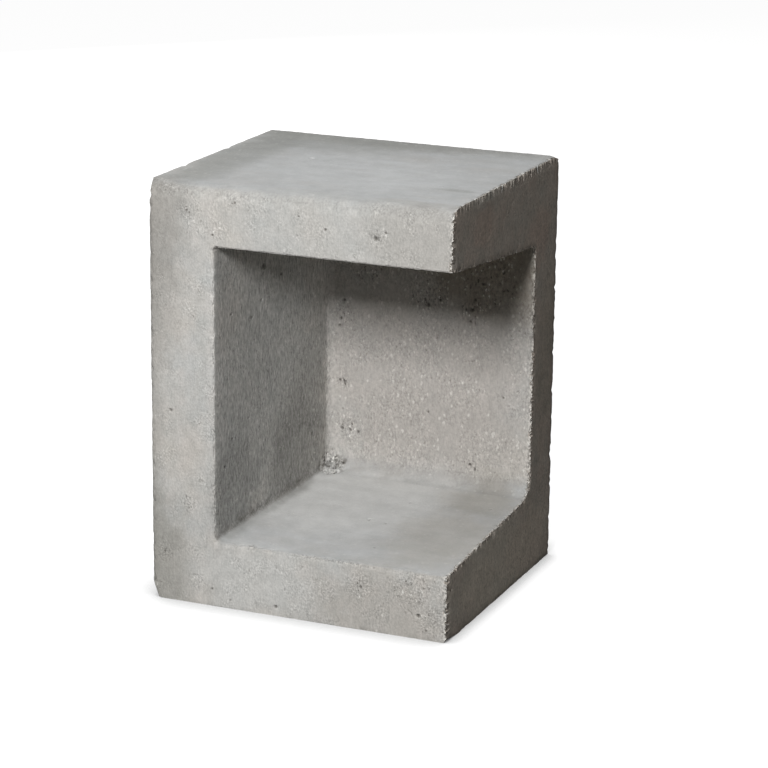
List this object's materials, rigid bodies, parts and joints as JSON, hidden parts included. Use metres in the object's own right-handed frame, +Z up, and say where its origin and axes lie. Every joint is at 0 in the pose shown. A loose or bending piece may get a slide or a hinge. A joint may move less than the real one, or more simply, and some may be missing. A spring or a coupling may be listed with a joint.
{
  "type": "hollow concrete block",
  "caption": "Cast concrete block with a cavity open at the front and on one side; it stands as a plinth, stool or shelf cube, and stacks on its flat faces.",
  "frame": {"origin": "centre of the base, on the floor", "axes": "+Z up, -Y out of the open front, +X out of the open side"},
  "size_m": [0.3, 0.27, 0.4],
  "materials": {
    "concrete": "cast concrete, matt, with fine pores and pale grains"
  },
  "bodies": {
    "root": {"concrete_block": "concrete"}
  },
  "joints": []
}
